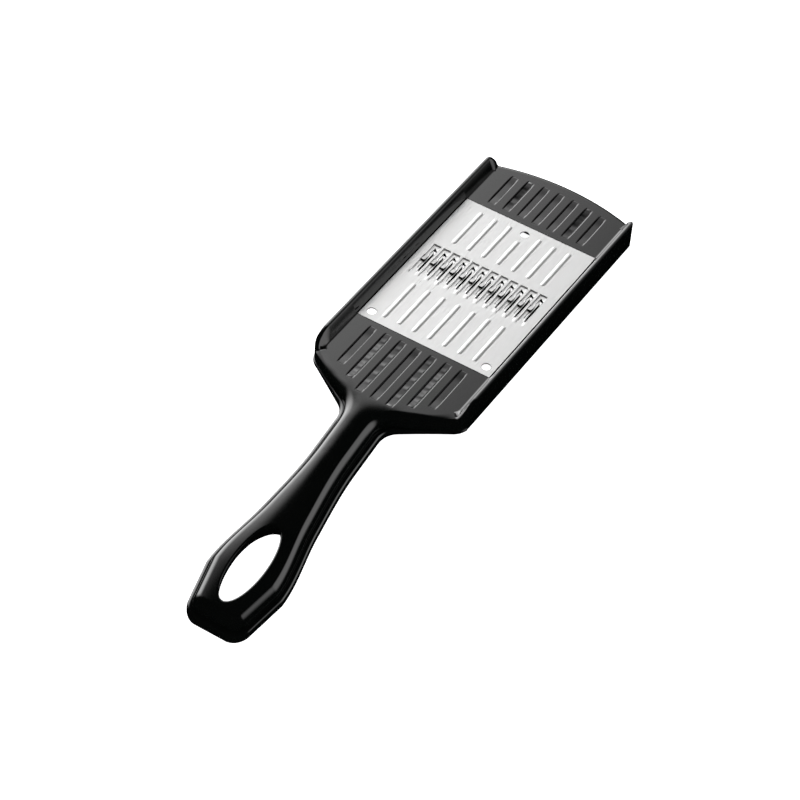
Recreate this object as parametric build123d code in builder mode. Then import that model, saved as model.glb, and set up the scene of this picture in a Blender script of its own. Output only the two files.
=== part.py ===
"""Hand-held julienne slicer: a moulded body with two side rails, a stamped
cutting plate set flush in its deck, and a shell that closes the handle from below.

Millimetres, +Z up, +Y from the handle towards the far end, origin on the surface
that the slicer lies on, below the middle of its bounding box. It rests on the far
bottom edge of the head and on the heel of the drooping handle, so its deck leans
by `pitch`. Every sketch is drawn on the leaning deck plane or on a plane across it.
"""

from build123d import *
from math import cos, radians, sin, tan
import os

# ---- driving dimensions, measured on the deck plane ------------------------------
pitch = 5.9                 # lean of the deck when the slicer lies on a table, degrees

plate_length = 90.0         # visible plate, along the slicer
plate_width = 67.0          # visible plate, between the rails
plate_thickness = 0.6
plate_capture = 0.8         # how far the plate's long edges run under the rails
plate_gap = 0.25            # open line at the plate's two short edges

rail_flare = 2.5            # the rails' inner faces lean outwards by this much
rail_width = 2.2            # rail thickness along its top
rail_height = 5.0           # rail top above the deck
rail_far_end = 23.8
rail_near_end = -119.0
rail_slope_length = 10.5    # length over which the rails come down to the deck

head_depth = 8.3            # underside of the head below the deck
wall = 2.4                  # moulded wall thickness
far_apex = 33.6             # far edge of the deck at the middle, past the plate
far_corner = 28.4           # the same edge at the foot of the rails
ledge_short = 2.0           # ledge under the plate's short edges
ledge_long = 1.3            # ledge under its long edges

shoulder_y = -113.0         # side walls end and the shoulder corners begin
shoulder_angle = 32.0       # shoulder line against the cross direction, degrees
shoulder_radius = 9.0
neck_radius = 9.0
neck_half_width = 10.2
neck_y = -158.0             # end of the neck's parallel stretch
grip_half_width = 13.2      # handle between neck and heel
grip_y = -190.0
heel_half_width = 18.3      # widest part of the handle
heel_y = -223.0
taper_half_width = 14.0
taper_y = -243.0
handle_end = -247.0
end_corner = 6.5            # rounding of the handle's end, across the slicer

droop = 13.1                # the handle's slope against the deck, degrees
droop_y = -136.5            # where the handle's top line meets the deck's level
bend_radius = 60.0          # easing of that bend
seam_depth = 6.4            # seam between the two mouldings, below the handle's top
handle_depth = 11.5         # underside of the handle, below its top
shell_step = 0.5            # the lower shell stands proud of the body by this much
shell_far_y = -115.0        # far edge of the lower shell, below the near deck
shell_wall = 2.0
cavity_far_y = -142.0       # far end of the hollow inside neck and handle

hole_y = -219.3             # hanging hole, an ellipse
hole_length = 38.6
hole_width = 14.5
sleeve_wall = 1.8           # moulded wall round the hole

rib_pitch = 7.6             # the decks' sunk channels and the plate's raised ribs
rib_numbers = range(-3, 4)
channel_width = 3.4
channel_depth = 0.9
channel_corner = 0.6
plate_rib_width = 2.4
plate_rib_height = 0.45
channel_inset = 6.0         # channels stop this far from the deck's curved far edge
far_channel_start = 3.1
near_channel_start = -93.0
near_channel_end = -129.5
near_channel_rise = 4.5     # the outer near channels stop short of the shoulder line
plate_rib_rows = ((-4.5, -28.4), (-60.5, -85.3))
short_rib_start = -11.0     # the middle rib of the far row clears the locating hole

tooth_count = 12
tooth_pitch = 4.94
tooth_far_y = -33.7
tooth_slot_length = 15.0
tooth_slot_width = 3.7
tooth_rise = 2.4            # crown of each cutting loop above the plate
loop_length = 7.0
loop_stock = 0.6

locating_hole = 4.2         # three plain holes in the plate
locating_holes = ((0, -5.1), (-28.9, -85.3), (28.9, -85.3))

# ---- derived ---------------------------------------------------------------------
foot = plate_width / 2                          # foot of a rail's inner face
half_width = foot + rail_flare + rail_width     # outer side of the head
fall = tan(radians(droop))                      # the handle's fall per unit length
below, beyond = -60.0, 60.0                     # reaches past the whole slicer
far_bulge = (far_apex - far_corner) / foot**2


def top_line(y, depth=0.0):
    """A point of the handle's middle line, `depth` below its top."""
    return (y, (y - droop_y) * fall - depth)


# The far bottom edge and the heel of the handle both stand on the table.
lean_sin, lean_cos = sin(radians(pitch)), cos(radians(pitch))
heel = top_line(handle_end - shell_step, handle_depth)
far_drop = far_apex * lean_sin + head_depth * lean_cos
heel_drop = heel[0] * lean_sin - heel[1] * lean_cos
middle_y = (far_apex * lean_cos + heel[0] * lean_cos + heel[1] * lean_sin) / 2
deck = Plane(
    origin=(0, -middle_y, max(far_drop, heel_drop)),
    x_dir=(1, 0, 0),
    z_dir=(0, lean_sin, lean_cos),
)
# Its x runs along the deck and its y is the deck's normal.
lengthwise = Plane(origin=deck.origin, x_dir=deck.y_dir, z_dir=(1, 0, 0))
# Its x runs across the deck and its y is the deck's normal; it faces the handle.
across = Plane(
    origin=deck.from_local_coords((0, far_apex, 0)),
    x_dir=deck.x_dir,
    z_dir=-deck.y_dir,
)


def plan_outline(grow=0.0):
    """Plan outline of the slicer, grown by `grow`; its far edge only ever moves in."""
    side = half_width + grow
    inset = min(grow, 0)
    neck = neck_half_width + grow
    rise = tan(radians(shoulder_angle))
    with BuildSketch() as plan:
        with BuildLine():
            far = TangentArc((0, far_apex + inset), (foot + inset, far_corner + inset), tangent=(1, 0))
            corner = TangentArc(far @ 1, (side, rail_far_end), tangent=far % 1)
            flank = Line(corner @ 1, (side, shoulder_y))
            turn = JernArc(flank @ 1, (0, -1), shoulder_radius, shoulder_angle - 90)
            neck_top = (turn @ 1).Y - ((turn @ 1).X - neck) * rise
            Line(turn @ 1, (neck, neck_top))
            Line((neck, neck_top), (neck, neck_y))
            grip = Spline(
                (neck, neck_y),
                (grip_half_width + grow, grip_y),
                (heel_half_width + grow, heel_y),
                tangents=[(0, -1), (-0.02, -1)],
            )
            taper = Line(grip @ 1, (taper_half_width + grow, taper_y))
            close = TangentArc(taper @ 1, (taper_half_width - end_corner, handle_end - grow), tangent=taper % 1)
            Line(close @ 1, (0, handle_end - grow))
            Line((0, handle_end - grow), (0, far_apex + inset))
        make_face()
        inner_corner = plan.vertices().filter_by_position(Axis.Y, neck_top - 0.01, neck_top + 0.01)
        fillet(inner_corner, neck_radius)
        mirror(about=Plane.YZ)
    return plan.sketch


def handle_band(top_depth, bottom_depth, head_top, head_bottom, far_y):
    """Side profile of a band that follows the deck, then droops with the handle.

    Its top and bottom lie `head_top` and `head_bottom` below the deck as far as the
    neck, and `top_depth` and `bottom_depth` below the handle's top line beyond it.
    """
    tail_y = handle_end + handle_end - taper_y
    with BuildSketch() as band:
        with BuildLine():
            Polyline(
                (far_y, -head_top),
                (droop_y + (top_depth - head_top) / fall, -head_top),
                top_line(tail_y, top_depth),
                top_line(tail_y, bottom_depth),
                (droop_y + (bottom_depth - head_bottom) / fall, -head_bottom),
                (far_y, -head_bottom),
                close=True,
            )
        make_face()
        bends = band.vertices().filter_by_position(Axis.X, droop_y - 30, droop_y + 16)
        fillet(bends, bend_radius)
    return band.sketch


def ellipse_hole(grow=0.0):
    """The hanging hole's ellipse."""
    with BuildSketch() as hole:
        with Locations((0, hole_y)):
            Ellipse(hole_width / 2 + grow, hole_length / 2 + grow)
    return hole.sketch


def deck_channels():
    """Channels sunk in both decks; their outer ends follow the decks' edges."""
    rise = tan(radians(shoulder_angle))
    with BuildSketch() as channels:
        for number in rib_numbers:
            x = number * rib_pitch
            far_end = far_apex - channel_inset - x * x * far_bulge
            near_end = max(near_channel_end, near_channel_end - near_channel_rise + abs(x) * rise)
            for start, end in ((far_channel_start, far_end), (near_channel_start, near_end)):
                with Locations((x, (start + end) / 2)):
                    RectangleRounded(channel_width, abs(end - start), channel_corner)
    return channels.sketch


# ---- sketches shared by the pieces; plans lie on the deck, bands across it ---------
plan = plan_outline()
shell_plan = plan_outline(shell_step)
inner_plan = plan_outline(-wall)
body_band = handle_band(0, seam_depth, 0, head_depth, beyond)
seat_band = handle_band(seam_depth, 60, seam_depth, 60, shell_far_y)
shell_band = handle_band(seam_depth, handle_depth, seam_depth, head_depth, shell_far_y)
with BuildSketch() as cavity_band:
    with BuildLine():
        Polyline(
            top_line(cavity_far_y, wall),
            top_line(handle_end, wall),
            top_line(handle_end, handle_depth - shell_wall),
            top_line(cavity_far_y, handle_depth - shell_wall),
            close=True,
        )
    make_face()
channels = deck_channels()
hole = ellipse_hole()
sleeve = ellipse_hole(sleeve_wall)


# ---- the handle's inside: one cavity shared by both mouldings, open round the hole --
with BuildPart() as cavity:
    with BuildSketch(deck):
        add(inner_plan)
        add(sleeve, mode=Mode.SUBTRACT)
    extrude(amount=below)
    with BuildSketch(lengthwise):
        add(cavity_band.sketch)
    extrude(amount=beyond, both=True, mode=Mode.INTERSECT)


# ---- two rails: a leaning inner face, the near end easing down to the deck ---------
with BuildPart() as rails:
    with BuildSketch(across):
        with BuildLine():
            Polyline(
                (foot, 0),
                (half_width, 0),
                (half_width, rail_height),
                (foot + rail_flare, rail_height),
                close=True,
            )
        make_face()
        mirror(about=Plane.YZ)
    extrude(amount=far_apex - rail_near_end)
    with BuildSketch(lengthwise):
        with BuildLine():
            start, end = (rail_near_end, 0), (rail_near_end + rail_slope_length, rail_height)
            Line(start, end)
            Polyline(end, (far_apex, rail_height), (far_apex, 0), start)
        make_face()
    extrude(amount=beyond, both=True, mode=Mode.INTERSECT)
    with BuildSketch(deck):
        add(plan)
    extrude(amount=beyond, mode=Mode.INTERSECT)


# ---- body: decks, rails, upper half of neck and handle ----------------------------
with BuildPart() as body:
    with BuildSketch(deck):
        add(plan)
    extrude(amount=below)
    with BuildSketch(lengthwise):
        add(body_band)
    extrude(amount=beyond, both=True, mode=Mode.INTERSECT)
    with BuildSketch(lengthwise):
        add(seat_band)
    extrude(amount=beyond, both=True, mode=Mode.SUBTRACT)

    add(rails.part)

    # hollow underside: side walls, the decks' skin and two cross walls stay
    with BuildSketch(deck.offset(-head_depth)):
        add(inner_plan)
        with Locations((0, beyond / 2 + shell_far_y / 2)):
            Rectangle(4 * foot, beyond - shell_far_y - 2 * wall, mode=Mode.INTERSECT)
    extrude(amount=head_depth - wall, mode=Mode.SUBTRACT)

    # seat and window of the cutting plate
    with BuildSketch(deck):
        with Locations((0, -plate_length / 2)):
            Rectangle(plate_width + 2 * plate_capture, plate_length + 2 * plate_gap)
    extrude(amount=-plate_thickness, mode=Mode.SUBTRACT)
    with BuildSketch(deck):
        with Locations((0, -plate_length / 2)):
            Rectangle(plate_width - 2 * ledge_long, plate_length - 2 * ledge_short)
    extrude(amount=below, mode=Mode.SUBTRACT)

    # sunk channels
    with BuildSketch(deck):
        add(channels)
    extrude(amount=-channel_depth, mode=Mode.SUBTRACT)

    # hanging hole
    with BuildSketch(deck):
        add(hole)
    extrude(amount=below, mode=Mode.SUBTRACT)
    add(cavity.part, mode=Mode.SUBTRACT)
body.part.label = "body"

# ---- lower shell: underside of shoulder, neck and handle ---------------------------
with BuildPart() as shell:
    with BuildSketch(deck):
        add(shell_plan)
    extrude(amount=below)
    with BuildSketch(lengthwise):
        add(shell_band)
    extrude(amount=beyond, both=True, mode=Mode.INTERSECT)
    with BuildSketch(deck):
        add(hole)
    extrude(amount=below, mode=Mode.SUBTRACT)
    add(cavity.part, mode=Mode.SUBTRACT)
shell.part.label = "handle_shell"

# ---- cutting plate: stamped sheet with ribs, three holes and a row of loops ---------
with BuildPart() as plate:
    with BuildSketch(deck.offset(-plate_thickness)):
        with Locations((0, -plate_length / 2)):
            Rectangle(plate_width + 2 * plate_capture, plate_length)
        with Locations(*locating_holes):
            Circle(locating_hole / 2, mode=Mode.SUBTRACT)
        for number in range(tooth_count):
            x = (number - (tooth_count - 1) / 2) * tooth_pitch
            with Locations((x, tooth_far_y - tooth_slot_length / 2)):
                Rectangle(tooth_slot_width, tooth_slot_length, mode=Mode.SUBTRACT)
    extrude(amount=plate_thickness)
    with BuildSketch(deck):
        for start, end in plate_rib_rows:
            for number in rib_numbers:
                short = number == 0 and start == plate_rib_rows[0][0]
                far_end = short_rib_start if short else start
                with Locations((number * rib_pitch, (far_end + end) / 2)):
                    RectangleRounded(plate_rib_width, far_end - end, plate_rib_width / 2 - 0.1)
    extrude(amount=plate_rib_height)
    # arched loops bridging the slots, their mouths facing the far end
    loop_centre = tooth_far_y - tooth_slot_length / 2
    mouth = Plane(
        origin=deck.from_local_coords((0, loop_centre + loop_length / 2, 0)),
        x_dir=deck.x_dir,
        z_dir=-deck.y_dir,
    )
    for number in range(tooth_count):
        x = (number - (tooth_count - 1) / 2) * tooth_pitch
        half = tooth_slot_width / 2
        leg = half - loop_stock
        with BuildSketch(mouth):
            with BuildLine():
                ThreePointArc((x - half, 0), (x, tooth_rise), (x + half, 0))
                Polyline(
                    (x + half, 0),
                    (x + half, -plate_thickness),
                    (x + leg, -plate_thickness),
                    (x + leg, 0),
                )
                ThreePointArc((x + leg, 0), (x, tooth_rise - loop_stock), (x - leg, 0))
                Polyline(
                    (x - leg, 0),
                    (x - leg, -plate_thickness),
                    (x - half, -plate_thickness),
                    (x - half, 0),
                )
            make_face()
        extrude(amount=loop_length)
plate.part.label = "julienne_plate"

pieces = [body, shell, plate]
os.makedirs("parts", exist_ok=True)
for piece in pieces:
    export_step(piece.part, f"parts/{piece.part.label}.step")
    size = piece.part.bounding_box().size
    print(piece.part.label, len(piece.solids()), "solid(s)", round(piece.part.volume), "mm3", size)
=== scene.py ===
# %% [markdown]
# # A hand-held julienne slicer
# The slicer has three made pieces: a glossy black moulding that carries the two decks
# and the two side rails, a second moulding that closes the handle from below, and a
# stamped sheet of stainless steel with a row of cutting teeth. Each piece is built here
# as one skin from its own drawing, in millimetres on the slicer's deck, and is then laid
# in the shared frame. That is close to how moulds and press tools are drawn, and it keeps
# the outline, the seat and the hanging hole near those of the solid model.

# %% The frame
import math

import bmesh
import bpy
import numpy as np
from mathutils import Matrix, Vector
from mathutils.geometry import delaunay_2d_cdt


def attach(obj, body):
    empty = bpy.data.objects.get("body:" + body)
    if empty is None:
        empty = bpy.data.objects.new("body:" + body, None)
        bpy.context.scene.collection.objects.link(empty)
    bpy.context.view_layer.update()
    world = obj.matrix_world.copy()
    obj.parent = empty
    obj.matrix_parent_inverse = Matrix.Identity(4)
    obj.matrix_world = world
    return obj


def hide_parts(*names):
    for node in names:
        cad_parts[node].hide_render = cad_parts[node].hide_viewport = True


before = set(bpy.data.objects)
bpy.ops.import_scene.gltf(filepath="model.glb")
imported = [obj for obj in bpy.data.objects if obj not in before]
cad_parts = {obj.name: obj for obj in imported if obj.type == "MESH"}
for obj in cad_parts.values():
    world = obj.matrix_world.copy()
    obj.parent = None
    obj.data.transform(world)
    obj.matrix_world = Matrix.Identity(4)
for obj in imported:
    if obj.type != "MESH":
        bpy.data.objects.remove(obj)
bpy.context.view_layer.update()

# %% [markdown]
# ## The deck
# All the drawing is done on the deck, because the slicer leans a little when it lies on
# a table: it stands on the far edge of its head and on the heel of the drooping handle.
# `x` runs across the deck, `y` along it towards the far end, `z` out of it.

# %% Sizes that the whole slicer shares, in millimetres
PITCH = math.radians(5.9)
HALF_WIDTH = 38.2
FOOT = 33.5
FAR_APEX, FAR_CORNER, RAIL_FAR_END = 33.6, 28.4, 23.8
HEAD_DEPTH, WALL = 8.3, 2.4
PLATE_LENGTH, PLATE_GAP, PLATE_THICKNESS = 90.0, 0.25, 0.6
HANDLE_END = -247.0
DROOP, DROOP_Y, BEND_RADIUS = math.radians(13.1), -136.5, 60.0
SEAM_DEPTH, HANDLE_DEPTH, SHELL_STEP, SHELL_FAR_Y = 6.4, 11.5, 0.5, -115.0
HOLE_Y, HOLE_LENGTH, HOLE_WIDTH = -219.3, 38.6, 14.5

heel_y = HANDLE_END - SHELL_STEP
heel_z = (heel_y - DROOP_Y) * math.tan(DROOP) - HANDLE_DEPTH
far_drop = FAR_APEX * math.sin(PITCH) + HEAD_DEPTH * math.cos(PITCH)
heel_drop = heel_y * math.sin(PITCH) - heel_z * math.cos(PITCH)
middle_y = (
    FAR_APEX * math.cos(PITCH) + heel_y * math.cos(PITCH) + heel_z * math.sin(PITCH)
) / 2
deck_height = max(far_drop, heel_drop)
DECK_TO_ROW = (
    Matrix.Translation((0, -middle_y / 1000, deck_height / 1000))
    @ Matrix.Rotation(-PITCH, 4, "X")
    @ Matrix.Diagonal((0.001, 0.001, 0.001, 1))
)
print("the deck's origin, mm:", [round(1000 * v, 2) for v in DECK_TO_ROW.translation])


# %% [markdown]
# ## Heights along the slicer
# The deck is flat as far as the neck, then an easy bend leads into the straight slope of
# the handle. One function gives that line, and everything that follows the handle uses it.

# %% The handle's top line
BEND_REACH = BEND_RADIUS * math.tan(DROOP / 2)


def top_height(y):
    """Height of the deck, and then of the handle's middle line, at `y`."""
    start = DROOP_Y + BEND_REACH
    end = DROOP_Y - BEND_REACH * math.cos(DROOP)
    if y >= start:
        return 0.0
    if y <= end:
        return (y - DROOP_Y) * math.tan(DROOP)
    return math.sqrt(BEND_RADIUS**2 - (y - start) ** 2) - BEND_RADIUS


def ease(value, low, high):
    """0 up to `low`, 1 from `high`, and a smooth S in between."""
    t = min(max((value - low) / (high - low), 0.0), 1.0)
    return t * t * (3 - 2 * t)


# %% [markdown]
# ## The plan outline
# The right half of the outline runs from the middle of the far edge, round the corner,
# down the straight flank, over the shoulder, through the neck and round the handle. It is
# stored as stations: a point and the direction that faces outwards there. Rings at any
# depth inside the outline come from the same stations, so they always match each other.

# %% Arcs, curves and stations
def arc(start, heading, end, step):
    """Points of the circular arc that leaves `start` along `heading` and reaches `end`."""
    start, end, heading = Vector(start), Vector(end), Vector(heading).normalized()
    chord = end - start
    turn = 2 * heading.angle_signed(chord)
    count = max(2, round(chord.length / step))
    if abs(turn) < 1e-4:
        return [start + chord * (k / count) for k in range(count + 1)]
    radius = chord.length / (2 * math.sin(turn / 2))
    centre = start - radius * Vector((-heading.y, heading.x))
    spoke = start - centre
    return [
        centre + Vector((spoke.x * math.cos(a) + spoke.y * math.sin(a),
                         spoke.y * math.cos(a) - spoke.x * math.sin(a)))
        for a in (turn * k / count for k in range(count + 1))
    ]


def line(start, end, step):
    start, end = Vector(start), Vector(end)
    count = max(1, round((end - start).length / step))
    return [start.lerp(end, k / count) for k in range(count + 1)]


def curve(points, headings, step):
    """A smooth curve through `points`, leaving each one along its heading."""
    made = []
    for a, b, go, come in zip(points, points[1:], headings, headings[1:]):
        a, b = Vector(a), Vector(b)
        reach = (b - a).length
        go, come = Vector(go).normalized() * reach, Vector(come).normalized() * reach
        count = max(2, round(reach / step))
        for k in range(count + 1):
            t = k / count
            made.append(
                a * (2 * t**3 - 3 * t**2 + 1) + go * (t**3 - 2 * t**2 + t)
                + b * (3 * t**2 - 2 * t**3) + come * (t**3 - t**2)
            )
    return made


SHOULDER_Y, SHOULDER_ANGLE, SHOULDER_RADIUS = -113.0, math.radians(32), 9.0
NECK_HALF, NECK_Y, NECK_RADIUS = 10.2, -158.0, 9.0
GRIP, HEEL, TAPER = (13.2, -190.0), (18.3, -223.0), (14.6, -241.0)
END_CORNER = 6.5


def half_outline(grow=0.0):
    """Stations (point, outward direction) of the right half, grown by `grow`."""
    side, neck = HALF_WIDTH + grow, NECK_HALF + grow
    down, along = (0, -1), (-math.cos(SHOULDER_ANGLE), -math.sin(SHOULDER_ANGLE))
    far_radius = (FOOT**2 + (FAR_APEX - FAR_CORNER) ** 2) / (2 * (FAR_APEX - FAR_CORNER))
    corner_heading = (far_radius - FAR_APEX + FAR_CORNER, -FOOT)
    turned = (
        side - SHOULDER_RADIUS * (1 - math.sin(SHOULDER_ANGLE)),
        SHOULDER_Y - SHOULDER_RADIUS * math.cos(SHOULDER_ANGLE),
    )
    corner_y = turned[1] - (turned[0] - neck) * math.tan(SHOULDER_ANGLE)
    reach = NECK_RADIUS * math.tan((math.pi / 2 - SHOULDER_ANGLE) / 2)
    neck_in = (neck - along[0] * reach, corner_y - along[1] * reach)
    heel, taper = (HEEL[0] + grow, HEEL[1]), (TAPER[0] + grow, TAPER[1])
    last = (TAPER[0] - END_CORNER, HANDLE_END - grow)
    taper_heading = (taper[0] - heel[0], taper[1] - heel[1])
    runs = [
        arc((0, FAR_APEX), (1, 0), (FOOT, FAR_CORNER), 1.0),
        arc((FOOT, FAR_CORNER), corner_heading, (side, RAIL_FAR_END), 0.3),
        line((side, RAIL_FAR_END), (side, PLATE_GAP), 4.0),
        line((side, PLATE_GAP), (side, -PLATE_LENGTH - PLATE_GAP), 6.0),
        line((side, -PLATE_LENGTH - PLATE_GAP), (side, -108), 6.0),
        line((side, -108), (side, SHOULDER_Y), 0.6),
        arc((side, SHOULDER_Y), down, turned, 0.5),
        line(turned, neck_in, 0.7),
        arc(neck_in, along, (neck, corner_y - reach), 0.5),
        line((neck, corner_y - reach), (neck, NECK_Y), 0.9),
        curve([(neck, NECK_Y), (GRIP[0] + grow, GRIP[1]), heel],
              [down, (HEEL[0] - NECK_HALF, HEEL[1] - NECK_Y), (-0.02, -1)], 1.2),
        line(heel, taper, 1.2),
        arc(taper, taper_heading, last, 0.6),
        line(last, (0, HANDLE_END - grow), 1.2),
    ]
    points = []
    for run in runs:
        for p in run:
            if not points or (p - points[-1]).length > 1e-4:
                points.append(p)
    stations = []
    for before, here, after in zip([None] + points[:-1], points, points[1:] + [None]):
        heading = (after or here) - (before or here)
        if before is None or after is None:
            heading.y = 0.0
        heading.normalize()
        stations.append((here, Vector((-heading.y, heading.x))))
    return stations


outline = half_outline()
print("stations on the right half:", len(outline))
CROWN = 0.23
neck_down = [(p.y, p.x) for p, _ in outline if p.y < -125 and p.x > TAPER[0] - END_CORNER - 1e-3]
half_y, half_x = np.array(sorted(neck_down)).T


def surface(x, y):
    """Height of the deck, and of the handle's crowned top, at `x` and `y`."""
    half = float(np.interp(y, half_y, half_x))
    crown = CROWN * half * ease(-y, 127, 145) * (1 - 0.62 * ease(-y, 160, 230))
    return top_height(y) - crown * min(abs(x) / half, 1.0) ** 2


# %% [markdown]
# ## Skins
# A moulding is skinned in two ways. Between two matching rings goes a strip of four-sided
# faces. A flat or gently bent region with any boundary, with holes in it, is filled with
# triangles by a constrained Delaunay triangulation, which keeps every boundary edge.
# Strips and fills are meant to share their points, and welding joins them. The finished
# pieces print how many edges are still open: some are, mostly in the channel floors.

# %% Strips, fills and welding
class Skin:
    """Collects faces by their corner points, in deck millimetres."""

    def __init__(self):
        self.points, self.faces = [], []

    def face(self, corners):
        first = len(self.points)
        self.points += [tuple(c) for c in corners]
        self.faces.append(tuple(range(first, first + len(corners))))

    def strip(self, one, other, closed=True):
        """Faces between two rows of matching points."""
        count = len(one)
        for k in range(count if closed else count - 1):
            n = (k + 1) % count
            self.face((one[k], one[n], other[n], other[k]))

    def fill(self, boundary, holes=(), height=None, inner=()):
        """Triangles inside `boundary` and outside `holes`.

        A corner takes its height from the loop point that it is, found by its rounded
        place, and any other corner from `height(x, y)`, or 0 where none is given. The
        triangulation rounds places a little, so a loop point can be missed that way.
        """
        loops = [boundary, *holes]
        flat, edges, known = [], [], {}
        for loop in loops:
            first = len(flat)
            for p in loop:
                known[(round(p[0], 5), round(p[1], 5))] = p[2]
                flat.append(Vector((p[0], p[1])))
            edges += [(first + k, first + (k + 1) % len(loop)) for k in range(len(loop))]
        flat += [Vector(p) for p in inner]
        verts, _, faces, *_ = delaunay_2d_cdt(flat, edges, [], 0, 1e-7)
        corners = np.array([[verts[i] for i in f] for f in faces])
        middles = corners.mean(axis=1)
        keep = inside(middles, boundary)
        for hole in holes:
            keep &= ~inside(middles, hole)
        for f, kept in zip(faces, keep):
            if kept:
                self.face([
                    (v.x, v.y, known.get((round(v.x, 5), round(v.y, 5)),
                                         height(v.x, v.y) if height else 0.0))
                    for v in (verts[i] for i in f)
                ])

    def mesh(self, name, weld=0.004):
        made = bpy.data.meshes.new(name)
        made.from_pydata(self.points, [], self.faces)
        work = bmesh.new()
        work.from_mesh(made)
        bmesh.ops.remove_doubles(work, verts=work.verts, dist=weld)
        bmesh.ops.dissolve_degenerate(work, edges=work.edges, dist=weld / 4)
        work.to_mesh(made)
        work.free()
        return made


def inside(points, loop):
    """Which of `points` lie inside the closed `loop`, by the even-odd rule."""
    ring = np.array([(p[0], p[1]) for p in loop])
    nxt = np.roll(ring, -1, axis=0)
    x, y = points[:, :1], points[:, 1:2]
    crosses = (ring[:, 1] > y) != (nxt[:, 1] > y)
    with np.errstate(divide="ignore", invalid="ignore"):
        at = ring[:, 0] + (y - ring[:, 1]) * (nxt[:, 0] - ring[:, 0]) / (nxt[:, 1] - ring[:, 1])
    return (crosses & (x < at)).sum(axis=1) % 2 == 1


def grid_points(loops, xs, ys, gap):
    """Points of the grid `xs` by `ys` that keep clear of every point of `loops`."""
    grid = np.array([(x, y) for x in xs for y in ys])
    edge = np.array([(p[0], p[1]) for loop in loops for p in loop])
    clear = np.linalg.norm(grid[:, None] - edge[None], axis=2).min(axis=1) > gap
    clear &= inside(grid, loops[0])
    for hole in loops[1:]:
        clear &= ~inside(grid, hole)
    return [tuple(p) for p in grid[clear]]


def mirrored(row):
    """The row of points and then its mirror image, back to where it began."""
    return list(row) + [(-p[0], *p[1:]) for p in reversed(row) if abs(p[0]) > 1e-6]


def rounded_box(half_x, y_low, y_high, radius, grow=0.0, step=None):
    """A rectangle with rounded corners, grown by `grow`, its long sides cut in steps."""
    radius = max(radius + grow, 0.02)
    x, low, high = half_x + grow - radius, y_low - grow + radius, y_high + grow - radius
    corners = ((x, high, 0), (-x, high, 90), (-x, low, 180), (x, low, 270))
    loop = []
    for k, (cx, cy, turn) in enumerate(corners):
        for j in range(6):
            a = math.radians(turn + 18 * j)
            loop.append((cx + radius * math.cos(a), cy + radius * math.sin(a)))
        if step and k in (1, 3):
            cuts = np.arange(0, high - low, step)[1:]
            cuts = [c for c in cuts if high - low - c > step / 2]
            side = -(half_x + grow) if k == 1 else half_x + grow
            loop += [(side, high - c if k == 1 else low + c) for c in cuts]
    return loop


def finish_piece(mesh, name, sharp=32):
    """Lays a deck mesh in the frame as an object, shades it, and reports on it."""
    mesh.transform(DECK_TO_ROW)
    work = bmesh.new()
    work.from_mesh(mesh)
    bmesh.ops.recalc_face_normals(work, faces=work.faces)
    if work.calc_volume(signed=True) < 0:
        bmesh.ops.reverse_faces(work, faces=work.faces)
    open_edges = sum(len(e.link_faces) != 2 for e in work.edges)
    triangles = sum(len(f.verts) - 2 for f in work.faces)
    work.to_mesh(mesh)
    work.free()
    mesh.shade_smooth()
    mesh.set_sharp_from_angle(angle=math.radians(sharp))
    piece = bpy.data.objects.new(name, mesh)
    bpy.context.scene.collection.objects.link(piece)
    print(name, "triangles:", triangles, "open edges:", open_edges)
    return piece


# %% [markdown]
# ## The body's cross-section
# Along the head the section climbs the outer wall, goes over the rail and comes down its
# leaning inner face to the deck. Along the shoulder and the handle there is no rail, and
# the top rolls off towards a crisp edge instead. Both sections have the same number of
# points, so one can turn into the other where the rail runs out.

# %% Rail and roll-off sections
RAIL_HEIGHT = 5.0
RAIL_NEAR_FULL, RAIL_NEAR_END = -108.5, -119.5
HANDLE_TUCK = 2.1


def rail_height(point):
    """Height of the rail over the deck at a point of the outline."""
    if point.y > RAIL_FAR_END:
        gone = min((point.y - RAIL_FAR_END) / (FAR_CORNER - RAIL_FAR_END), 1.0)
        return RAIL_HEIGHT * max(1 - gone**3, 0.0) if point.x > FOOT else 0.0
    if point.y > RAIL_NEAR_FULL:
        return RAIL_HEIGHT
    gone = min((RAIL_NEAR_FULL - point.y) / (RAIL_NEAR_FULL - RAIL_NEAR_END), 1.0)
    return RAIL_HEIGHT * (1 - gone**1.5)


def roll_off(point):
    """Width and drop of the rounded top edge at a point of the outline."""
    if point.y > 0:
        return 2.2, 1.0
    width = 1.6 + 1.9 * ease(-point.y, 119, 130)
    drop = 1.1 * ease(-point.y, 119, 130) + 1.9 * ease(-point.y, 132, 147)
    return width, drop


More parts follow.
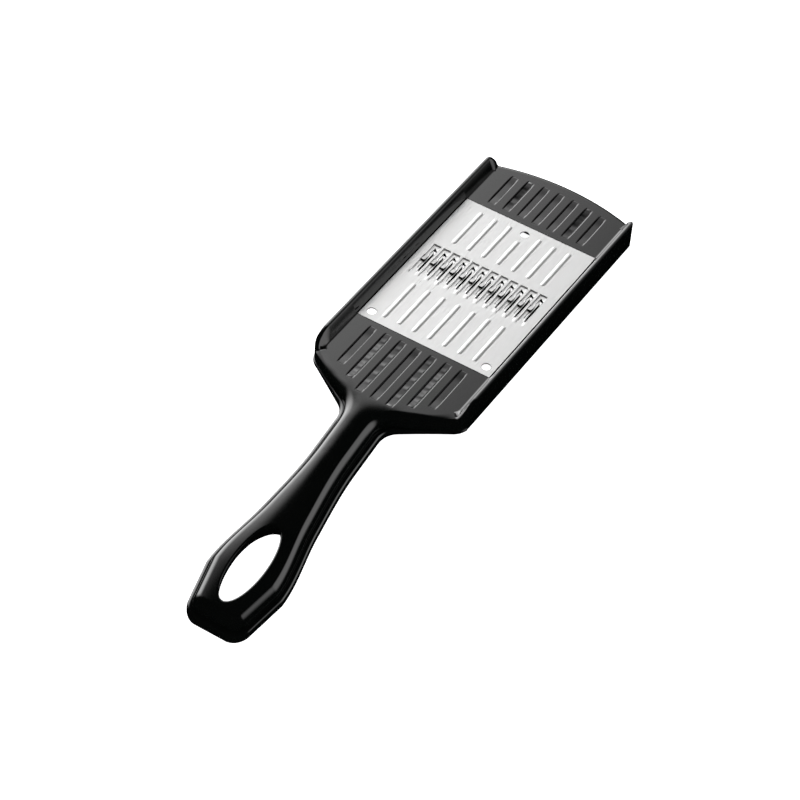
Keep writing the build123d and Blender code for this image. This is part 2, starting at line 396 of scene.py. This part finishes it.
def body_section(point, outward, on_plate, over_shell):
    """Points of the body's section at one station, from its bottom edge to the deck."""
    rail = rail_height(point)
    width, drop = roll_off(point)
    turned = ease(-point.y, 119, 127) if point.y < 0 else ease(point.x, FOOT + 1.6, FOOT)
    slope = [0.0, 0.18, 0.36, 0.54, 0.72, 0.88, 1.0]
    rails = [(0.0, rail - 0.45), (0.12, rail - 0.12), (0.45, rail), (1.55, rail),
             (2.0, rail - 0.14), (2.3, rail - 0.5), (4.62, min(0.12, rail)), (5.0, 0.0)]
    edge = surface(point.x, point.y) - drop
    bottom = top_height(point.y) - SEAM_DEPTH if over_shell else -HEAD_DEPTH
    made = []

    tuck = HANDLE_TUCK * ease(-point.y, 124, 142)

    def put(inset, z=None, below_top=0.0):
        at = point - outward * (inset + tuck)
        if abs(point.x) < 1e-6:
            at.x = 0.0
        height = surface(at.x, at.y) - below_top if z is None else z
        made.append((max(at.x, 0.0), at.y, height))

    lift = max(min(0.4, edge - 0.6 - bottom), 0.05)
    put(0.4, bottom)
    put(0.1, bottom + 0.3 * lift)
    put(0.0, bottom + lift)
    for k, (inset, z) in enumerate(rails):
        if k < 2:
            other, fall = (0.0, 0.1)[k], drop + (0.5, 0.15)[k]
        else:
            t = slope[k - 1]
            other, fall = 0.1 + (width - 0.1) * t, drop * (1 - t) ** 2
        at_inset = inset + (other - inset) * turned
        if rail > 0 and turned < 1:
            put(at_inset, z * (1 - turned) + (surface(point.x, point.y) - fall) * turned)
        else:
            put(at_inset, below_top=fall)
    put(5.4 + (width + 0.5 - 5.4) * turned)
    if on_plate:
        made[-3:] = [(point.x - 4.62, point.y, 0.0),
                     (point.x - 4.7, point.y, -PLATE_THICKNESS),
                     (point.x - 5.4, point.y, -PLATE_THICKNESS)]
    return made


# %% [markdown]
# ## The body's rings
# The same point of every station's section makes one ring round the whole moulding. At
# both ends of the plate and where the lower moulding begins, a station is used twice, with
# and without the step, so that the step is sharp.

# %% Rings of the body
edges_of_plate = (PLATE_GAP, -PLATE_LENGTH - PLATE_GAP)
body_rows, marks = [], {}
for point, outward in outline:
    flank = abs(point.x - HALF_WIDTH) < 1e-3
    on_plate = flank and edges_of_plate[1] - 1e-3 < point.y < edges_of_plate[0] + 1e-3
    over_shell = point.y <= SHELL_FAR_Y
    if on_plate and abs(point.y - edges_of_plate[0]) < 1e-3:
        body_rows.append(body_section(point, outward, False, False))
        marks["far"] = len(body_rows) - 1
    if over_shell and "shell" not in marks:
        body_rows.append(body_section(point, outward, False, False))
        marks["shell"] = len(body_rows)
    body_rows.append(body_section(point, outward, on_plate, over_shell))
    if on_plate and abs(point.y - edges_of_plate[1]) < 1e-3:
        marks["near"] = len(body_rows)
        body_rows.append(body_section(point, outward, False, False))
print("body stations:", len(body_rows), "marks:", marks)

body_skin = Skin()
rings = [mirrored([row[k] for row in body_rows]) for k in range(len(body_rows[0]))]
for lower, upper in zip(rings, rings[1:]):
    body_skin.strip(lower, upper)

# %% [markdown]
# ## Channels in the decks
# Seven shallow channels are sunk in each deck. Each one is a few rings of a rounded
# rectangle: a softened lip, a wall and a floor, with a finer groove along one side. The
# depth fades out at both ends. The floor's fill has no height function, so a point that
# isn't found again lies at height 0, and that leaves gaps and patches in some floors.

# %% Channels, the hanging hole and the decks between them
RIB_PITCH, CHANNEL_HALF, CHANNEL_DEPTH = 7.6, 1.7, 0.32
CHANNEL_SECTION = ((0.5, 0.0), (0.34, 0.0), (0.14, 0.1), (0.0, 0.4), (-0.08, 1.0), (-0.42, 1.0),
                   (-0.5, 1.0), (-0.57, 1.0))
GROOVE_RINGS, GROOVE_DEPTH = (4, 5), 0.55
FAR_START, FAR_MARGIN = 3.1, 6.0
NEAR_START, NEAR_END, NEAR_MIDDLE_END = -93.0, -129.5, -134.0


def channel(skin, x, low, high):
    """Adds one channel and returns the ring that bounds it in the deck."""
    def fade(y, reach):
        return ease(y, low - 0.1, low + reach) * ease(-y, -high - 0.1, reach - high)

    loops = []
    for number, (grow, share) in enumerate(CHANNEL_SECTION):
        ring = rounded_box(CHANNEL_HALF, low, high, 0.6, grow, step=1.2)
        sunk = [(px, py, share * CHANNEL_DEPTH * fade(py, 7.0)) for px, py in ring]
        if number in GROOVE_RINGS:
            sunk = [(px, py, z + (GROOVE_DEPTH * fade(py, 2.5) if px < -0.8 else 0.0))
                    for px, py, z in sunk]
        loops.append([(x + px, py, surface(x + px, py) - z) for px, py, z in sunk])
    for one, other in zip(loops, loops[1:]):
        skin.strip(one, other)
    skin.fill(loops[-1])
    return loops[0]


def ellipse(grow, height, count=72):
    return [
        (px, py, height(px, py))
        for px, py in (
            ((HOLE_WIDTH / 2 + grow) * math.cos(a),
             HOLE_Y + (HOLE_LENGTH / 2 + grow) * math.sin(a))
            for a in (2 * math.pi * k / count for k in range(count))
        )
    ]


far_channels, near_channels = [], []
for number in range(-3, 4):
    x = number * RIB_PITCH
    far_end = FAR_APEX - FAR_MARGIN - x * x * (FAR_APEX - FAR_CORNER) / FOOT**2
    near_end = max(NEAR_END, NEAR_MIDDLE_END + abs(x) * math.tan(SHOULDER_ANGLE))
    far_channels.append(channel(body_skin, x, FAR_START, far_end))
    near_channels.append(channel(body_skin, x, near_end, NEAR_START))
print("channels:", len(far_channels), "far,", len(near_channels), "near")

HOLE_SECTION = ((1.1, 0.0), (0.8, 0.0), (0.4, 0.09), (0.12, 0.3), (0.0, 0.65))
hole_rings = [ellipse(g, lambda x, y, f=f: surface(x, y) - f) for g, f in HOLE_SECTION]
hole_rings.append(ellipse(0.0, lambda x, y: top_height(y) - 3.2))
hole_rings.append(ellipse(2.1, lambda x, y: top_height(y) - SEAM_DEPTH))
for one, other in zip(hole_rings, hole_rings[1:]):
    body_skin.strip(one, other)

top_row = [row[-1] for row in body_rows]
far_loop = mirrored(top_row[: marks["far"] + 1])
near_loop = mirrored(top_row[marks["near"]:])
body_skin.fill(far_loop, far_channels)
holes = [*near_channels, hole_rings[0]]
body_skin.fill(near_loop, holes, height=surface, inner=grid_points(
    [near_loop, *holes], np.arange(-27.2, 27.3, 1.7), np.arange(-248.0, -128.0, 1.9), 0.8))

# %% [markdown]
# ## Seat and underside
# The plate lies flush in a seat that is one sheet deep, over a window that lets the cut
# strips fall through. Below, the head is hollow, as a moulding of this size would be, to
# save material and to keep the walls even.

# %% The plate's seat and the hollow underside
SEAT_X, SEAT_FAR, SEAT_NEAR = FOOT - 1.3, -2.0, -88.0
seat_loop = mirrored(top_row[marks["far"] + 1: marks["near"]])


def window(z):
    return [(SEAT_X, SEAT_FAR, z), (SEAT_X, SEAT_NEAR, z),
            (-SEAT_X, SEAT_NEAR, z), (-SEAT_X, SEAT_FAR, z)]


body_skin.fill(seat_loop, [window(-PLATE_THICKNESS)], height=lambda x, y: -PLATE_THICKNESS)
for row in (marks["far"], marks["near"] - 1):
    (x, y, upper), (_, _, lower) = top_row[row], top_row[row + 1]
    body_skin.face([(x, y, upper), (x, y, lower), (-x, y, lower), (-x, y, upper)])

inner_row = []
for point, outward in outline:
    at = point - outward * WALL
    if at.y > SHELL_FAR_Y + 2 * WALL:
        inner_row.append((at.x if abs(point.x) > 1e-6 else 0.0, at.y))
inner_row.append((HALF_WIDTH - WALL, SHELL_FAR_Y + 2 * WALL))
rim = [(x, y, -HEAD_DEPTH) for x, y in mirrored(inner_row)]
ceiling = [(x, y, -WALL) for x, y in mirrored(inner_row)]
foot_row = [row[0] for row in body_rows]
body_skin.fill(mirrored(foot_row[: marks["shell"]]), [rim], height=lambda x, y: -HEAD_DEPTH)
body_skin.strip(rim, ceiling)
body_skin.fill(ceiling, [window(-WALL)], height=lambda x, y: -WALL)
body_skin.strip(window(-WALL), window(-PLATE_THICKNESS))
seam_loop = mirrored(foot_row[marks["shell"]:])
seam_points = [(x, y) for y in np.arange(-144.0, -128.5, 1.0) for x in (-6.0, 0.0, 6.0)]
body_skin.fill(seam_loop, [hole_rings[-1]],
               height=lambda x, y: top_height(y) - SEAM_DEPTH, inner=seam_points)
(x, y, upper), (_, _, lower) = foot_row[marks["shell"]], foot_row[marks["shell"] - 1]
body_skin.face([(x, y, upper), (x, y, lower), (-x, y, lower), (-x, y, upper)])
body = finish_piece(body_skin.mesh("moulded_body"), "moulded_body")

# %% [markdown]
# ## The lower moulding
# A second moulding closes shoulder, neck and handle from below. It stands a little proud
# of the body all round, and its rounded lip leaves the fine dark seam line.

# %% Section and rings of the lower moulding
SEAM_GAP, LOWER_BEND_Y = 0.3, DROOP_Y + (HANDLE_DEPTH - HEAD_DEPTH) / math.tan(DROOP)


def lower_height(y):
    """Underside of the slicer: level under the shoulder, then along the handle."""
    return top_height(y + DROOP_Y - LOWER_BEND_Y) - HEAD_DEPTH


def lip_height(y):
    return top_height(y) - SEAM_DEPTH - SEAM_GAP


def shell_section(point, outward, front):
    wall = lip_height(point.y) - lower_height(point.y)
    lip, heel = min(1.5, 0.45 * wall), min(1.9, 0.5 * wall)
    shape = [(3.0, 0), (lip, 0), (0.62 * lip, 0.07 * lip), (0.29 * lip, 0.29 * lip),
             (0.07 * lip, 0.62 * lip), (0, lip)]
    shape += [(0, wall - heel), (0.07 * heel, wall - 0.62 * heel),
              (0.29 * heel, wall - 0.29 * heel), (0.62 * heel, wall - 0.07 * heel),
              (heel, wall), (heel + 1.2, wall)]
    made = []
    for inset, fall in shape:
        at = point - outward * inset
        if front:
            at = Vector((point.x - inset, point.y))
        x = 0.0 if abs(point.x) < 1e-6 else max(at.x, 0.0)
        here = lip_height(at.y) - lower_height(at.y)
        made.append((x, at.y, lip_height(at.y) - fall / wall * here))
    return made


shell_stations = [s for s in half_outline(SHELL_STEP) if s[0].y <= SHELL_FAR_Y]
shell_rows = [shell_section(p, n, k == 0) for k, (p, n) in enumerate(shell_stations)]
shell_skin = Skin()
rings = [mirrored([row[k] for row in shell_rows]) for k in range(len(shell_rows[0]))]
for upper, lower in zip(rings, rings[1:]):
    shell_skin.strip(upper, lower, closed=False)
front = shell_rows[0]
shell_skin.face([*front, *[(-x, y, z) for x, y, z in reversed(front)]])

lower_section = ((2.4, 0.0, lip_height), (2.05, -0.1, lip_height), (1.8, -0.3, lip_height),
                 (1.8, -0.6, lip_height), (3.6, 1.3, lower_height),
                 (4.1, 0.45, lower_height), (4.5, 0.12, lower_height), (5.1, 0.0, lower_height))
hole_rings = [ellipse(g, lambda x, y, d=d, f=f: f(y) + d) for g, d, f in lower_section]
for one, other in zip(hole_rings, hole_rings[1:]):
    shell_skin.strip(one, other)
bend_points = [(x, y) for y in np.arange(-143.0, -117.0, 1.5) for x in (-5.0, 0.0, 5.0)]
for outer, hole, line_height in ((rings[0], hole_rings[0], lip_height),
                                 (rings[-1], hole_rings[-1], lower_height)):
    shell_skin.fill(outer, [hole], height=lambda x, y: line_height(y), inner=bend_points)
shell = finish_piece(shell_skin.mesh("moulded_shell"), "moulded_shell")

# %% [markdown]
# ## The stamped plate
# The plate is one sheet, 0.6 mm thick, so its upper face is drawn once and then given its
# thickness. What the press tool repeats, the raised beads and the cutting teeth, is made
# once as a small patch and laid out in a row by Geometry Nodes. The patches fit holes of
# the same shape in the flat sheet, and welding makes all of it one surface again.

# %% A Geometry Nodes tree that lays out a row of patches
def row_tree():
    tree = bpy.data.node_groups.new("row_of_stampings", "GeometryNodeTree")
    face = tree.interface
    face.new_socket("Geometry", in_out="OUTPUT", socket_type="NodeSocketGeometry")
    for name, kind in (("Patch", "Object"), ("Count", "Int"), ("Pitch", "Float"),
                       ("First", "Vector"), ("Finish", "Material")):
        face.new_socket(name, in_out="INPUT", socket_type="NodeSocket" + kind)
    nodes, links = tree.nodes, tree.links
    entry, leave = nodes.new("NodeGroupInput"), nodes.new("NodeGroupOutput")
    patch = nodes.new("GeometryNodeObjectInfo")
    stride = nodes.new("ShaderNodeCombineXYZ")
    row = nodes.new("GeometryNodeMeshLine")
    place = nodes.new("GeometryNodeInstanceOnPoints")
    real = nodes.new("GeometryNodeRealizeInstances")
    paint = nodes.new("GeometryNodeSetMaterial")
    links.new(entry.outputs["Patch"], patch.inputs["Object"])
    links.new(entry.outputs["Pitch"], stride.inputs["X"])
    links.new(entry.outputs["Count"], row.inputs["Count"])
    links.new(entry.outputs["First"], row.inputs["Start Location"])
    links.new(stride.outputs["Vector"], row.inputs["Offset"])
    links.new(row.outputs["Mesh"], place.inputs["Points"])
    links.new(patch.outputs["Geometry"], place.inputs["Instance"])
    links.new(place.outputs["Instances"], real.inputs["Geometry"])
    links.new(real.outputs["Geometry"], paint.inputs["Geometry"])
    links.new(entry.outputs["Finish"], paint.inputs["Material"])
    links.new(paint.outputs["Geometry"], leave.inputs["Geometry"])
    return tree


stamping_row = row_tree()
# The second steel is near-black: painted shade for the slits, the sheet's rim and its steep
# flanks.
steel, steel_painted_shade = (bpy.data.materials.new(name) for name in ("satin_steel", "steel_painted_shade"))


def lay_out(patch_mesh, count, pitch, first):
    """The patch, repeated `count` times along x, as one plain mesh."""
    patch = bpy.data.objects.new("patch", patch_mesh)
    carrier = bpy.data.objects.new("row", bpy.data.meshes.new("row"))
    for helper in (patch, carrier):
        bpy.context.scene.collection.objects.link(helper)
    modifier = carrier.modifiers.new("row", "NODES")
    modifier.node_group = stamping_row
    sockets = {s.name: s.identifier for s in stamping_row.interface.items_tree
               if s.in_out == "INPUT"}
    for name, value in (("Patch", patch), ("Count", count), ("Pitch", pitch),
                        ("First", first), ("Finish", steel)):
        modifier[sockets[name]] = value
    bpy.context.view_layer.update()
    view = bpy.context.evaluated_depsgraph_get()
    made = bpy.data.meshes.new_from_object(carrier.evaluated_get(view))
    bpy.data.objects.remove(carrier)
    bpy.data.objects.remove(patch)
    return made


# %% [markdown]
# ## Raised beads
# Rows of low beads stiffen the thin sheet and keep the food from sticking to it. A bead is
# a few rings of a rounded rectangle, each a little higher than the one round it.

# %% The bead patch and its rows
BEAD_HALF, BEAD_HEIGHT = 0.8, 0.2
BEAD_SECTION = ((0.5, 0.0), (0.3, 0.0), (0.12, 0.04), (-0.06, 0.1), (-0.24, 0.16), (-0.42, 0.19),
                (-0.6, 0.2))


def bead_rings(length):
    return [[(x, y, z) for x, y in rounded_box(BEAD_HALF, -length, 0.0, 0.7, grow, None)]
            for grow, z in BEAD_SECTION]


def bead_patch(length):
    patch = Skin()
    loops = bead_rings(length)
    for one, other in zip(loops, loops[1:]):
        patch.strip(one, other)
    patch.fill(loops[-1], height=lambda x, y: BEAD_HEIGHT)
    return patch.mesh("bead")


bead_rows = [
    (3, -3 * RIB_PITCH, -4.5, 23.9), (3, RIB_PITCH, -4.5, 23.9),
    (1, 0.0, -11.0, 17.3), (7, -3 * RIB_PITCH, -60.5, 24.8),
]

# %% [markdown]
# ## One cutting tooth
# Each tooth is a strip of the sheet that is pressed down a little. A crooked slit runs
# along it and cuts a small tongue free, which is bent up. Walls reach down from the slit's
# edge, so that it looks deep, and their near-black steel is painted shade. The height of
# every point follows from its place, so one small patch is enough for the whole row.

# %% The tooth patch
TOOTH_COUNT, TOOTH_PITCH = 12, 4.94
TOOTH_LEFT, TOOTH_FAR = -29.3, -33.65
CELL_LEFT, CELL_RIGHT, CELL_FAR, CELL_NEAR = -0.82, 4.12, 0.8, -22.8
DISH_DEPTH, TONGUE_LIFT, SLIT_DEPTH = 0.6, 1.0, 2.0
TONGUE = [(0.2, -7.9), (0.2, -11.55), (1.75, -11.55), (1.9, -9.9), (1.75, -8.3), (1.25, -6.1)]
SLIT = [
    (2.45, -18.3), (2.45, -14.0), (2.45, -9.9), (2.45, -4.6), (1.85, -3.3), (1.5, -6.0),
    (1.95, -8.2), (2.1, -9.9), (1.95, -11.7), (1.5, -14.2), (1.62, -16.6), (1.4, -16.7),
    (1.25, -14.2), (1.55, -11.85), (0.7, -11.85), (-0.2, -11.85), (-0.2, -9.9), (-0.2, -7.9),
    (0.2, -7.9), (0.2, -9.9), (0.2, -11.55), (1.0, -11.55), (1.75, -11.55), (1.9, -9.9),
    (1.75, -8.3), (1.25, -6.1), (1.35, -2.9), (1.45, -1.7), (3.3, -3.1), (3.3, -9.9),
    (3.3, -14.0), (3.3, -18.6),
]


def strip_height(x, y):
    across = ease(x, -0.14, 0.14) * (1 - ease(x, 3.32, 3.75))
    return -DISH_DEPTH * across * ease(-y, -0.14, 0.3) * (1 - ease(-y, 16.8, 22.4))


def tooth_height(x, y):
    near = [(x - 0.01, y), (x + 0.01, y), (x, y - 0.01), (x, y + 0.01)]
    on_tongue = inside(np.array(near), TONGUE).any()
    lift = TONGUE_LIFT * max(-y - 7.2, 0) / 4.35 if on_tongue else 0.0
    return strip_height(x, y) + lift


def stepped(corners, step):
    """The closed loop through `corners`, its sides cut into even steps."""
    loop = []
    for a, b in zip(corners, corners[1:] + corners[:1]):
        count = max(1, round(math.dist(a, b) / step))
        loop += [(a[0] + (b[0] - a[0]) * k / count, a[1] + (b[1] - a[1]) * k / count)
                 for k in range(count)]
    return loop


def tooth_patch():
    patch = Skin()
    cell = stepped([(CELL_LEFT, CELL_FAR), (CELL_RIGHT, CELL_FAR),
                    (CELL_RIGHT, CELL_NEAR), (CELL_LEFT, CELL_NEAR)], 1.2)
    slit = [(x, y, tooth_height(x, y)) for x, y in SLIT]
    loops = [[(x, y, 0.0) for x, y in cell], slit]
    columns = (-0.5, -0.14, 0.0, 0.14, 0.5, 0.85, 1.2, 1.6, 2.0, 2.4, 2.9, 3.4, 3.55, 3.75, 3.95)
    rows = [0.4, 0.14, 0.0, -0.15, -0.3, *np.arange(-0.8, -22.5, -0.55)]
    sunk = [(x, y, z - SLIT_DEPTH) for x, y, z in slit]
    patch.strip(slit, sunk)
    patch.fill(loops[0], loops[1:], height=tooth_height,
               inner=grid_points(loops, columns, rows, 0.13))
    return patch.mesh("tooth")


# %% [markdown]
# ## The whole sheet
# The flat sheet has an opening for every patch, with the patch's own border points, so
# they weld together. Solidify then gives the one upper face its thickness. Its rim, the
# steep flanks and the deep walls get near-black steel, painted shade for slits and edges.

# %% The flat sheet, its holes and its thickness
PLATE_HALF = 33.1
ROUND_HOLES, ROUND_HOLE_RADIUS = ((0.0, -5.1), (-28.9, -85.3), (28.9, -85.3)), 2.1
STEEP_NORMAL = 0.35
sheet = Skin()
openings = []
for count, first, far, length in bead_rows:
    ring = bead_rings(length)[0]
    for k in range(count):
        openings.append([(x + first + k * RIB_PITCH, y + far, 0.0) for x, y, _ in ring])
for x, y in ROUND_HOLES:
    openings.append([(x + ROUND_HOLE_RADIUS * math.cos(a),
                      y + ROUND_HOLE_RADIUS * math.sin(a), 0.0)
                     for a in (2 * math.pi * k / 40 for k in range(40))])
side_cuts = stepped([(0, CELL_FAR), (0, CELL_NEAR)], 1.2)
side_cuts = side_cuts[: len(side_cuts) // 2]
pitch_cuts = stepped([(CELL_LEFT, 0), (CELL_RIGHT, 0)], 1.2)
pitch_cuts = pitch_cuts[: len(pitch_cuts) // 2]
comb_left, comb_right = TOOTH_LEFT + CELL_LEFT, TOOTH_LEFT + CELL_LEFT + TOOTH_COUNT * TOOTH_PITCH
along = [TOOTH_LEFT + k * TOOTH_PITCH + x for k in range(TOOTH_COUNT) for x, _ in pitch_cuts]
openings.append(
    [(x, TOOTH_FAR + CELL_FAR, 0.0) for x in along]
    + [(comb_right, TOOTH_FAR + y, 0.0) for _, y in side_cuts]
    + [(x, TOOTH_FAR + CELL_NEAR, 0.0) for x in [comb_right, *reversed(along[1:])]]
    + [(comb_left, TOOTH_FAR + CELL_NEAR + CELL_FAR - y, 0.0) for _, y in side_cuts]
)
sheet.fill([(-PLATE_HALF, 0.0, 0.0), (PLATE_HALF, 0.0, 0.0),
            (PLATE_HALF, -PLATE_LENGTH, 0.0), (-PLATE_HALF, -PLATE_LENGTH, 0.0)], openings)

parts = [sheet.mesh("sheet")]
parts.append(lay_out(tooth_patch(), TOOTH_COUNT, TOOTH_PITCH, (TOOTH_LEFT, TOOTH_FAR, 0.0)))
for count, first, far, length in bead_rows:
    parts.append(lay_out(bead_patch(length), count, RIB_PITCH, (first, far, 0.0)))
work = bmesh.new()
for part in parts:
    work.from_mesh(part)
bmesh.ops.remove_doubles(work, verts=work.verts, dist=0.004)
bmesh.ops.recalc_face_normals(work, faces=work.faces)
if sum(f.normal.z * f.calc_area() for f in work.faces) < 0:
    bmesh.ops.reverse_faces(work, faces=work.faces)
print("sheet edges on one face only:", sum(len(e.link_faces) == 1 for e in work.edges))
# Faces deep in the slits and on steep flanks take the near-black steel, painted shade.
for face in work.faces:
    deep = face.calc_center_median().z < -DISH_DEPTH - 0.1
    face.material_index = int(deep or face.normal.z < STEEP_NORMAL)
upper_face = bpy.data.meshes.new("upper_face")
work.to_mesh(upper_face)
for finish in (steel, steel_painted_shade):
    upper_face.materials.append(finish)
work.free()
carrier = bpy.data.objects.new("carrier", upper_face)
bpy.context.scene.collection.objects.link(carrier)
thick = carrier.modifiers.new("thickness", "SOLIDIFY")
thick.thickness = PLATE_THICKNESS * 0.96  # a hair's gap over the seat
thick.offset, thick.material_offset_rim = -1.0, 1
view = bpy.context.evaluated_depsgraph_get()
plate_mesh = bpy.data.meshes.new_from_object(carrier.evaluated_get(view))
bpy.data.objects.remove(carrier)
plate = finish_piece(plate_mesh, "stamped_plate", sharp=38)

# %% [markdown]
# ## Finishes
# The mouldings are glossy black: a very dark base under a clear reflection, with the
# faint unevenness that polished moulds leave. The plate is satin steel, whose grain runs
# along the sheet, so its pattern is stretched in that direction.

# %% Black mouldings and satin steel
def new_shader(material):
    material.use_nodes = True
    nodes, links = material.node_tree.nodes, material.node_tree.links
    return nodes, links, nodes["Principled BSDF"]


def noise(nodes, links, scale, detail=4.0, stretch=(1, 1, 1)):
    place, mapping = nodes.new("ShaderNodeTexCoord"), nodes.new("ShaderNodeMapping")
    made = nodes.new("ShaderNodeTexNoise")
    mapping.inputs["Scale"].default_value = stretch
    made.inputs["Scale"].default_value, made.inputs["Detail"].default_value = scale, detail
    links.new(place.outputs["Object"], mapping.inputs["Vector"])
    links.new(mapping.outputs["Vector"], made.inputs["Vector"])
    return made.outputs["Fac"]


def spread(nodes, links, value, low, high):
    made = nodes.new("ShaderNodeMapRange")
    made.inputs["From Min"].default_value, made.inputs["From Max"].default_value = 0.3, 0.7
    made.inputs["To Min"].default_value, made.inputs["To Max"].default_value = low, high
    links.new(value, made.inputs["Value"])
    return made.outputs["Result"]


def bump(nodes, links, value, distance):
    made = nodes.new("ShaderNodeBump")
    made.inputs["Distance"].default_value = distance
    links.new(value, made.inputs["Height"])
    return made.outputs["Normal"]


black = bpy.data.materials.new("gloss_black_moulding")
nodes, links, shader = new_shader(black)
shader.inputs["Base Color"].default_value = (0.001, 0.0013, 0.0012, 1)
shader.inputs["IOR"].default_value = 1.5
links.new(spread(nodes, links, noise(nodes, links, 90, 5), 0.1, 0.14), shader.inputs["Roughness"])
links.new(bump(nodes, links, noise(nodes, links, 260, 2), 0.000004), shader.inputs["Normal"])

nodes, links, shader = new_shader(steel)
shader.inputs["Metallic"].default_value = 0.8
shader.inputs["Base Color"].default_value = (0.46, 0.46, 0.458, 1)
grain = noise(nodes, links, 60, 6, (40, 2.5, 40))
links.new(spread(nodes, links, grain, 0.36, 0.46), shader.inputs["Roughness"])
links.new(bump(nodes, links, grain, 0.00006), shader.inputs["Normal"])

# Near-black steel: painted shade for the dark slits, the sheet's rim and its steep flanks.
nodes, links, shader = new_shader(steel_painted_shade)
shader.inputs["Metallic"].default_value = 1.0
shader.inputs["Base Color"].default_value = (0.008, 0.008, 0.008, 1)
shader.inputs["Roughness"].default_value = 0.4

for piece in (body, shell):
    piece.data.materials.append(black)
print("finishes:", black.name, steel.name, steel_painted_shade.name)

# %% [markdown]
# ## Floor and light
# The slicer lies on a plain pale floor, which gives off a little light so that it stays
# even. Only reflections see the three soft panels in the sky, so decks and plate mirror
# them, while overhead it is dark and the handle goes black.

# %% The studio
floor_mesh = bpy.data.meshes.new("floor")
floor_mesh.from_pydata([(-6, -6, 0), (6, -6, 0), (6, 6, 0), (-6, 6, 0)], [], [(0, 1, 2, 3)])
floor = bpy.data.objects.new("floor", floor_mesh)
bpy.context.scene.collection.objects.link(floor)
pale = bpy.data.materials.new("pale_floor")
nodes, links, shader = new_shader(pale)
shader.inputs["Base Color"].default_value = (0.92, 0.92, 0.92, 1)
shader.inputs["Roughness"].default_value = 0.9
shader.inputs["Emission Color"].default_value = (1, 1, 1, 1)
shader.inputs["Emission Strength"].default_value = 1.0
floor.data.materials.append(pale)
floor.visible_glossy = False

ROOM_LIGHT = 1.1
world = bpy.data.worlds.new("studio")
bpy.context.scene.world = world
world.use_nodes = True
nodes, links = world.node_tree.nodes, world.node_tree.links
nodes.clear()
direction = nodes.new("ShaderNodeTexCoord").outputs["Generated"]


def patch_of_light(azimuth, elevation, inner, outer, strength):
    """A round soft panel in the sky; azimuth turns from +Y towards -X."""
    a, e = math.radians(azimuth), math.radians(elevation)
    towards = (-math.sin(a) * math.cos(e), math.cos(a) * math.cos(e), math.sin(e))
    facing = nodes.new("ShaderNodeVectorMath")
    facing.operation = "DOT_PRODUCT"
    facing.inputs[1].default_value = towards
    links.new(direction, facing.inputs[0])
    fade = nodes.new("ShaderNodeMapRange")
    fade.interpolation_type = "SMOOTHSTEP"
    fade.inputs["From Min"].default_value = math.cos(math.radians(outer))
    fade.inputs["From Max"].default_value = math.cos(math.radians(inner))
    fade.inputs["To Max"].default_value = strength
    links.new(facing.outputs["Value"], fade.inputs["Value"])
    return fade.outputs["Result"]


panels = [
    patch_of_light(azimuth=58, elevation=16, inner=16, outer=42, strength=6.2),
    patch_of_light(azimuth=18, elevation=26, inner=8, outer=30, strength=0.5),
    patch_of_light(azimuth=-62, elevation=26, inner=12, outer=32, strength=2.4),
]
total = panels[0]
for panel in panels[1:]:
    add = nodes.new("ShaderNodeMath")
    links.new(total, add.inputs[0])
    links.new(panel, add.inputs[1])
    total = add.outputs["Value"]
room = nodes.new("ShaderNodeBackground")
room.inputs["Color"].default_value = (1, 1, 1, 1)
links.new(total, room.inputs["Strength"])
even = nodes.new("ShaderNodeBackground")
even.inputs["Color"].default_value = (1, 1, 1, 1)
even.inputs["Strength"].default_value = ROOM_LIGHT
kind = nodes.new("ShaderNodeLightPath")
choose = nodes.new("ShaderNodeMixShader")
links.new(kind.outputs["Is Glossy Ray"], choose.inputs["Fac"])
links.new(even.outputs["Background"], choose.inputs[1])
links.new(room.outputs["Background"], choose.inputs[2])
leave = nodes.new("ShaderNodeOutputWorld")
links.new(choose.outputs["Shader"], leave.inputs["Surface"])
bpy.context.scene.view_settings.view_transform = "Standard"

# %% [markdown]
# ## The camera
# A long lens looks down on the slicer from behind the handle. Its place is worked out from
# the deck's origin: a turn, a distance, and a small shift to the side and up.

# %% The camera
LOOK_AZIMUTH, LOOK_DOWN, REACH = 32.63, 50.976, 1.35211
SIDE, UP = 0.057971, 0.0762
lens = bpy.data.cameras.new("camera")
lens.sensor_width, lens.lens = 36.0, 137.14
lens.clip_start, lens.clip_end = 0.05, 20
camera = bpy.data.objects.new("camera", lens)
bpy.context.scene.collection.objects.link(camera)
camera.rotation_euler = (math.radians(90 - LOOK_DOWN), 0, math.radians(LOOK_AZIMUTH))
turn = camera.rotation_euler.to_matrix()
camera.location = DECK_TO_ROW.translation + turn @ Vector((-SIDE, -UP, REACH))
bpy.context.scene.camera = camera

# %% [markdown]
# ## Handing the pieces over
# Each visual piece rides on the one body of the model and takes the place of its solid.

# %% Bodies and nodes
for piece, node, slot in ((body, "body", "body"), (shell, "handle_shell", "shell"),
                          (plate, "julienne_plate", "plate")):
    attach(piece, "root")
    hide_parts(node)
